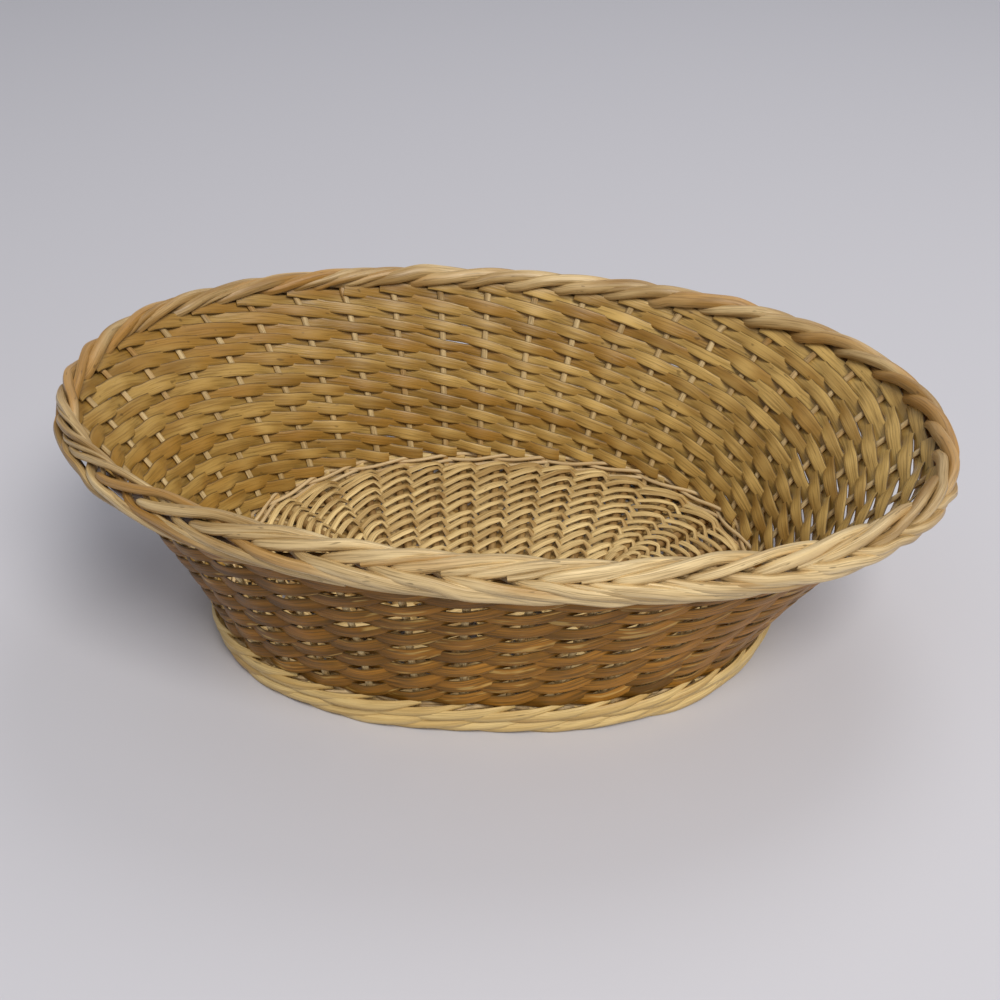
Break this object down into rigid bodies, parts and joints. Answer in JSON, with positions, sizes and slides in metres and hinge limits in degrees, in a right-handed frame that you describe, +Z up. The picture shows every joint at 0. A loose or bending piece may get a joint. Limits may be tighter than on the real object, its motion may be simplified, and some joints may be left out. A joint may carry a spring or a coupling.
{
  "type": "wicker bread basket",
  "caption": "Oval woven willow basket with splayed strip-woven sides on upright stakes, a rolled rod border and a woven floor, for bread or fruit",
  "frame": {"origin": "centre of the basket's outline, on the surface it stands on", "axes": "+X along the basket's length, +Y across it, +Z up"},
  "size_m": [0.4294, 0.3104, 0.1246],
  "materials": {
    "stake_willow": "peeled willow rod, varnished honey gold",
    "foot_willow": "peeled willow rod, paler straw colour",
    "stick_willow": "peeled willow rod, matt",
    "base_willow": "split willow strip, matt straw colour",
    "upsett_willow": "thin peeled willow rod, matt",
    "weaver_willow": "split willow strip, varnished, honey to amber"
  },
  "bodies": {
    "root": {"stake_pair_01": "stake_willow", "stake_pair_02": "stake_willow", "stake_pair_03": "stake_willow", "stake_pair_04": "stake_willow", "stake_pair_05": "stake_willow", "stake_pair_06": "stake_willow", "stake_pair_07": "stake_willow", "stake_pair_08": "stake_willow", "stake_pair_09": "stake_willow", "stake_pair_10": "stake_willow", "stake_pair_11": "stake_willow", "stake_pair_12": "stake_willow", "stake_pair_13": "stake_willow", "stake_pair_14": "stake_willow", "stake_pair_15": "stake_willow", "stake_pair_16": "stake_willow", "stake_pair_17": "stake_willow", "stake_pair_18": "stake_willow", "stake_pair_19": "stake_willow", "stake_pair_20": "stake_willow", "foot_rod": "foot_willow", "cross_stick_01": "stick_willow", "cross_stick_02": "stick_willow", "cross_stick_03": "stick_willow", "cross_stick_04": "stick_willow", "cross_stick_05": "stick_willow", "cross_stick_06": "stick_willow", "cross_stick_07": "stick_willow", "cross_stick_08": "stick_willow", "cross_stick_09": "stick_willow", "long_stick_01": "stick_willow", "long_stick_02": "stick_willow", "long_stick_03": "stick_willow", "base_weaver_a": "base_willow", "base_weaver_b": "base_willow", "upsett_rod_lower": "upsett_willow", "upsett_rod_upper": "upsett_willow", "weaver_pair_01": "weaver_willow", "weaver_pair_02": "weaver_willow", "weaver_pair_03": "weaver_willow", "weaver_pair_04": "weaver_willow", "weaver_pair_05": "weaver_willow", "weaver_pair_06": "weaver_willow", "weaver_pair_07": "weaver_willow", "weaver_pair_08": "weaver_willow", "weaver_pair_09": "weaver_willow", "weaver_pair_10": "weaver_willow", "weaver_pair_11": "weaver_willow", "weaver_pair_12": "weaver_willow", "weaver_pair_13": "weaver_willow", "weaver_pair_14": "weaver_willow", "weaver_pair_15": "weaver_willow", "weaver_pair_16": "weaver_willow", "weaver_pair_17": "weaver_willow", "weaver_pair_18": "weaver_willow", "weaver_pair_19": "weaver_willow", "weaver_pair_20": "weaver_willow"}
  },
  "joints": []
}
